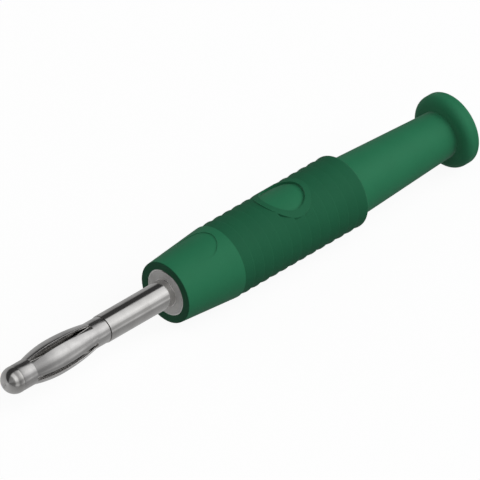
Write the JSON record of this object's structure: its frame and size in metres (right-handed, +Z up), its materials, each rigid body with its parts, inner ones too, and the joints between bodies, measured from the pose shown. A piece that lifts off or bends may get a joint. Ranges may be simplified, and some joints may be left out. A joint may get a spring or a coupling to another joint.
{
  "type": "banana plug",
  "caption": "Straight 4 mm banana plug: sprung pin with bulged leaf cage, soft ribbed grip sleeve and tapered kink protection that ends in a trumpet for the lead.",
  "frame": {"origin": "centre of the mating face, on the plug axis, where the pin leaves the sleeve", "axes": "+Z up, plug axis along X with the tip to -X and the cable end to +X"},
  "size_m": [0.0834, 0.0104, 0.0104],
  "materials": {
    "plated_brass": "bright nickel on turned brass",
    "plated_spring": "bright nickel on spring sheet",
    "screw_steel": "plain steel, turned",
    "sleeve_pvc": "soft moulded PVC, satin, finely grained on the grip"
  },
  "bodies": {
    "contact": {"contact_pin": "plated_brass", "spring_cage": "plated_spring"},
    "sleeve": {"insulating_sleeve": "sleeve_pvc"},
    "screw": {"clamp_screw": "screw_steel"}
  },
  "joints": [
    {"name": "sleeve_slide", "type": "slide", "parent": "contact", "child": "sleeve", "axis": [1, 0, 0], "range_m": [0, 0.0305]},
    {"name": "clamp_screw_travel", "type": "slide", "parent": "contact", "child": "screw", "axis": [0, 1, 0], "range_m": [0, 0.0011]}
  ]
}
